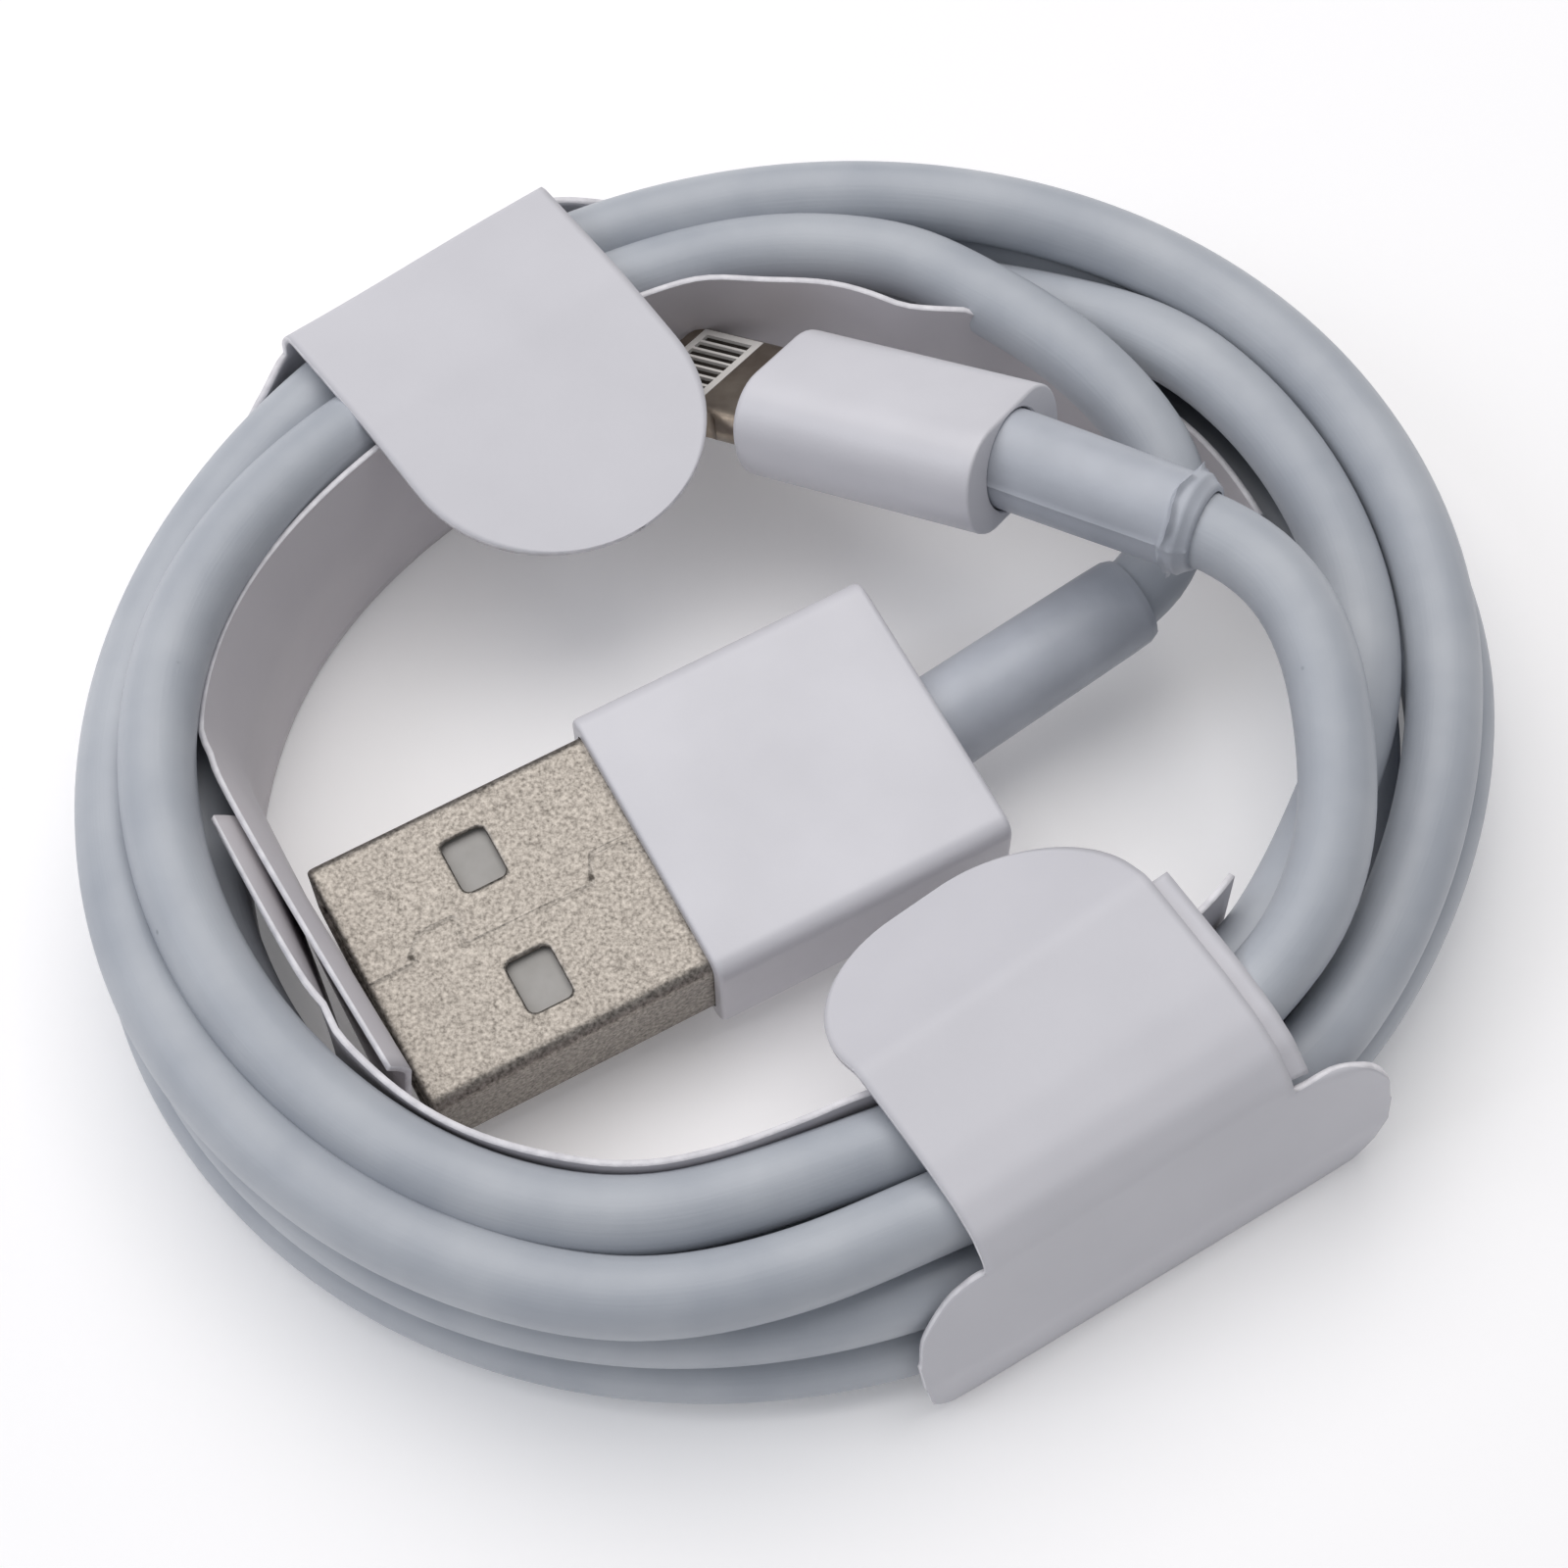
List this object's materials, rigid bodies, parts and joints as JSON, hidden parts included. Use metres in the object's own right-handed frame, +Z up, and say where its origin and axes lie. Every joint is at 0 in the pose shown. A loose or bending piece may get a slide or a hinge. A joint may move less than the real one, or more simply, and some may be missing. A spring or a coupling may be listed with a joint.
{
  "type": "charging cable",
  "caption": "Phone charging cable with a USB-A plug and a slim reversible tab plug, wound in a flat ring and held by a folding card wrap with two bands.",
  "frame": {"origin": "middle of the wound ring's footprint, on the surface it lies on", "axes": "+Z up from the surface, +X to the right and +Y away from someone looking at the ring as it is laid out, with the USB plug's mouth at the left"},
  "size_m": [0.0582, 0.0576, 0.0145],
  "materials": {
    "nickel_plated_steel": "speckled nickel plate, satin",
    "insulator_plastic": "moulded, fine matt",
    "gold_plated_contacts": "gold plated, bright",
    "dark_plated_contacts": "palladium plated, dull",
    "inner_mould_plastic": "moulded, plain",
    "white_housing_plastic": "moulded, soft sheen",
    "wire_insulation": "plain insulation, four colours",
    "crimp_steel": "plain pressed sheet",
    "cable_jacket": "smooth matt TPE, pale blue-grey",
    "strain_relief_rubber": "smooth matt TPE, pale blue-grey",
    "tab_steel": "nickel plated, satin",
    "shield_can_steel": "plain pressed sheet",
    "circuit_board": "green solder mask",
    "chip_plastic": "black moulded",
    "capacitor_ceramic": "fired, tan",
    "liner_card": "coated card, soft sheen",
    "wrap_card": "coated card, soft sheen"
  },
  "bodies": {
    "wound_cable": {"usb_shell": "nickel_plated_steel", "usb_tongue": "insulator_plastic", "usb_contact_1": "gold_plated_contacts", "usb_contact_2": "gold_plated_contacts", "usb_contact_3": "gold_plated_contacts", "usb_contact_4": "gold_plated_contacts", "usb_inner_mould": "inner_mould_plastic", "usb_wires": "wire_insulation", "usb_crimp_ring": "crimp_steel", "usb_jacket_end": "cable_jacket", "usb_housing": "white_housing_plastic", "usb_strain_relief": "strain_relief_rubber", "tab_frame": "tab_steel", "tab_insulator": "insulator_plastic", "tab_contacts_top": "dark_plated_contacts", "tab_contacts_bottom": "dark_plated_contacts", "tab_circuit_board": "circuit_board", "tab_control_chip": "chip_plastic", "tab_capacitors": "capacitor_ceramic", "tab_shield_can": "shield_can_steel", "tab_wires": "wire_insulation", "tab_crimp_ring": "crimp_steel", "tab_jacket_end": "cable_jacket", "tab_boot": "white_housing_plastic", "tab_strain_relief": "strain_relief_rubber", "usb_lead": "cable_jacket", "cable_coil": "cable_jacket", "tab_lead": "cable_jacket", "card_liner_back": "liner_card", "card_liner_front": "liner_card", "back_wrap_base": "wrap_card", "front_wrap_base": "wrap_card"},
    "back_wall": {"back_wrap_wall": "wrap_card"},
    "back_flap": {"back_wrap_flap": "wrap_card"},
    "front_wall": {"front_wrap_wall": "wrap_card"},
    "front_flap": {"front_wrap_flap": "wrap_card", "front_wrap_ply": "wrap_card"}
  },
  "joints": [
    {"name": "back_wrap_wall_crease", "type": "hinge", "parent": "wound_cable", "child": "back_wall", "pos_m": [-0.01658, 0.02201, 0], "axis": [-0.7986, -0.6018, 0], "range_deg": [0, 90]},
    {"name": "back_wrap_flap_crease", "type": "hinge", "parent": "back_wall", "child": "back_flap", "pos_m": [-0.01658, 0.02201, 0.01005], "axis": [-0.7986, -0.6018, 0], "range_deg": [0, 150]},
    {"name": "front_wrap_wall_crease", "type": "hinge", "parent": "wound_cable", "child": "front_wall", "pos_m": [0.01541, -0.02284, 0], "axis": [0.829, 0.5592, 0], "range_deg": [0, 90]},
    {"name": "front_wrap_flap_crease", "type": "hinge", "parent": "front_wall", "child": "front_flap", "pos_m": [0.01541, -0.02284, 0.01005], "axis": [0.829, 0.5592, 0], "range_deg": [0, 150]}
  ]
}
